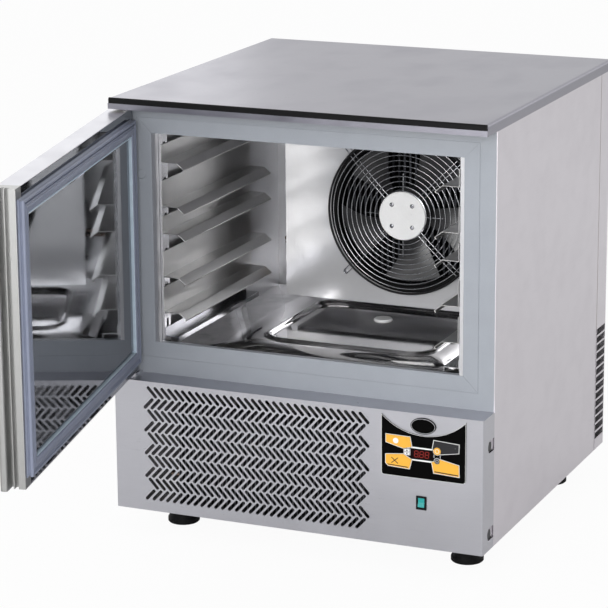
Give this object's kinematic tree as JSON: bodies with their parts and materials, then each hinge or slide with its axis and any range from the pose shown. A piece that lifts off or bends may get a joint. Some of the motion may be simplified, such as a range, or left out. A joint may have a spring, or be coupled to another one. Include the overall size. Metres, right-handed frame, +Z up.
{
  "type": "blast chiller",
  "caption": "Undercounter blast chiller with an open left-hinged door, a steel chamber with tray slides and a guarded fan, and a herringbone grille with a control panel below.",
  "frame": {"origin": "centre of the cabinet footprint on the floor, halfway across the width and between the worktop front and back edges", "axes": "+X to the right as seen from the front, +Y to the back, +Z up; the front with the door and the control panel faces -Y"},
  "size_m": [0.7613, 1.4347, 0.85],
  "materials": {
    "satin_steel": "brushed along the sheet",
    "bright_steel": "bright, near mirror",
    "mirror_steel": "mirror polished",
    "frame_plastic": "satin grey",
    "black_plastic": "matte black",
    "white_plastic": "white",
    "foam": "rigid foam",
    "fins": "thin fins",
    "black_paint": "black enamel",
    "zinc": "galvanised",
    "copper": "copper tube",
    "overlay_black": "printed film",
    "amber_key": "printed amber",
    "grey_key": "dark grey",
    "white_key": "white",
    "display_red": "dark red window",
    "board_green": "circuit board",
    "switch_green": "translucent green",
    "gasket_rubber": "soft blue-grey",
    "chrome_screw": "bright"
  },
  "bodies": {
    "cabinet": {"worktop": "satin_steel", "worktop_board": "foam", "worktop_trim": "black_plastic", "side_panel_left": "satin_steel", "side_panel_right": "satin_steel", "rear_cover": "satin_steel", "base_tray": "zinc", "levelling_feet": "black_plastic", "cable_gland": "black_plastic", "insulation": "foam", "chamber_liner": "bright_steel", "chamber_floor": "mirror_steel", "breaker_frame": "frame_plastic", "door_sensor_cap": "frame_plastic", "evaporator_panel": "bright_steel", "evaporator_coil": "fins", "drip_tray": "bright_steel", "fan_shroud": "black_plastic", "fan_guard": "black_paint", "guard_disc": "white_plastic", "guard_screws": "chrome_screw", "fan_motor": "black_paint", "rack_uprights": "satin_steel", "rack_rails": "satin_steel", "tray_slides_left": "satin_steel", "tray_slides_right": "satin_steel", "lower_panel": "satin_steel", "panel_screws": "chrome_screw", "control_overlay": "overlay_black", "oval_plate": "overlay_black", "display_window": "display_red", "control_board": "board_green", "switch_bezel": "black_plastic", "compressor": "black_paint", "condenser_coil": "fins", "condenser_shroud": "zinc", "condenser_motor": "black_paint", "liquid_receiver": "black_paint", "filter_drier": "copper", "refrigerant_pipes": "copper", "hinge_plate_top": "bright_steel", "hinge_plate_bottom": "bright_steel"},
    "door": {"door_skin": "satin_steel", "door_handle": "satin_steel", "door_core": "foam", "door_inner_panel": "mirror_steel", "door_gasket": "gasket_rubber", "hinge_bushes": "white_plastic"},
    "evaporator_fan": {"fan_blades": "black_plastic"},
    "condenser_fan": {"condenser_blades": "fins"},
    "power_rocker": {"rocker": "switch_green"},
    "chamber_plug": {"drain_plug": "white_plastic"},
    "key_start_body": {"key_start": "amber_key"},
    "key_mode_body": {"key_mode": "amber_key"},
    "key_menu_body": {"key_menu": "amber_key"},
    "key_print_body": {"key_print": "grey_key"},
    "key_up_body": {"key_up": "white_key"},
    "key_down_body": {"key_down": "white_key"},
    "key_round_upper_body": {"key_round_upper": "amber_key"},
    "key_round_lower_body": {"key_round_lower": "grey_key"}
  },
  "joints": [
    {"name": "door_hinge", "type": "hinge", "parent": "cabinet", "child": "door", "pos_m": [-0.355, -0.337, 0.568], "axis": [0, 0, -1], "range_deg": [-78.2, 21.8]},
    {"name": "evaporator_fan_spin", "type": "hinge", "parent": "cabinet", "child": "evaporator_fan", "pos_m": [0.05, 0.083, 0.569], "axis": [0, 1, 0], "continuous": true},
    {"name": "condenser_fan_spin", "type": "hinge", "parent": "cabinet", "child": "condenser_fan", "pos_m": [-0.06, -0.266, 0.159], "axis": [0, 1, 0], "continuous": true},
    {"name": "power_rocker_tilt", "type": "hinge", "parent": "cabinet", "child": "power_rocker", "pos_m": [0.255, -0.369, 0.136], "axis": [1, 0, 0], "range_deg": [0, 18]},
    {"name": "drain_plug_lift", "type": "slide", "parent": "cabinet", "child": "chamber_plug", "axis": [0, 0, 1], "range_m": [0, 0.02]},
    {"name": "key_start_press", "type": "slide", "parent": "cabinet", "child": "key_start_body", "axis": [0, 1, 0], "range_m": [0, 0.0005], "stiffness_N_per_m": 800, "springref_m": -0.0005},
    {"name": "key_mode_press", "type": "slide", "parent": "cabinet", "child": "key_mode_body", "axis": [0, 1, 0], "range_m": [0, 0.0005], "stiffness_N_per_m": 800, "springref_m": -0.0005},
    {"name": "key_menu_press", "type": "slide", "parent": "cabinet", "child": "key_menu_body", "axis": [0, 1, 0], "range_m": [0, 0.0005], "stiffness_N_per_m": 800, "springref_m": -0.0005},
    {"name": "key_print_press", "type": "slide", "parent": "cabinet", "child": "key_print_body", "axis": [0, 1, 0], "range_m": [0, 0.0005], "stiffness_N_per_m": 800, "springref_m": -0.0005},
    {"name": "key_up_press", "type": "slide", "parent": "cabinet", "child": "key_up_body", "axis": [0, 1, 0], "range_m": [0, 0.0005], "stiffness_N_per_m": 800, "springref_m": -0.0005},
    {"name": "key_down_press", "type": "slide", "parent": "cabinet", "child": "key_down_body", "axis": [0, 1, 0], "range_m": [0, 0.0005], "stiffness_N_per_m": 800, "springref_m": -0.0005},
    {"name": "key_round_upper_press", "type": "slide", "parent": "cabinet", "child": "key_round_upper_body", "axis": [0, 1, 0], "range_m": [0, 0.0005], "stiffness_N_per_m": 800, "springref_m": -0.0005},
    {"name": "key_round_lower_press", "type": "slide", "parent": "cabinet", "child": "key_round_lower_body", "axis": [0, 1, 0], "range_m": [0, 0.0005], "stiffness_N_per_m": 800, "springref_m": -0.0005}
  ]
}
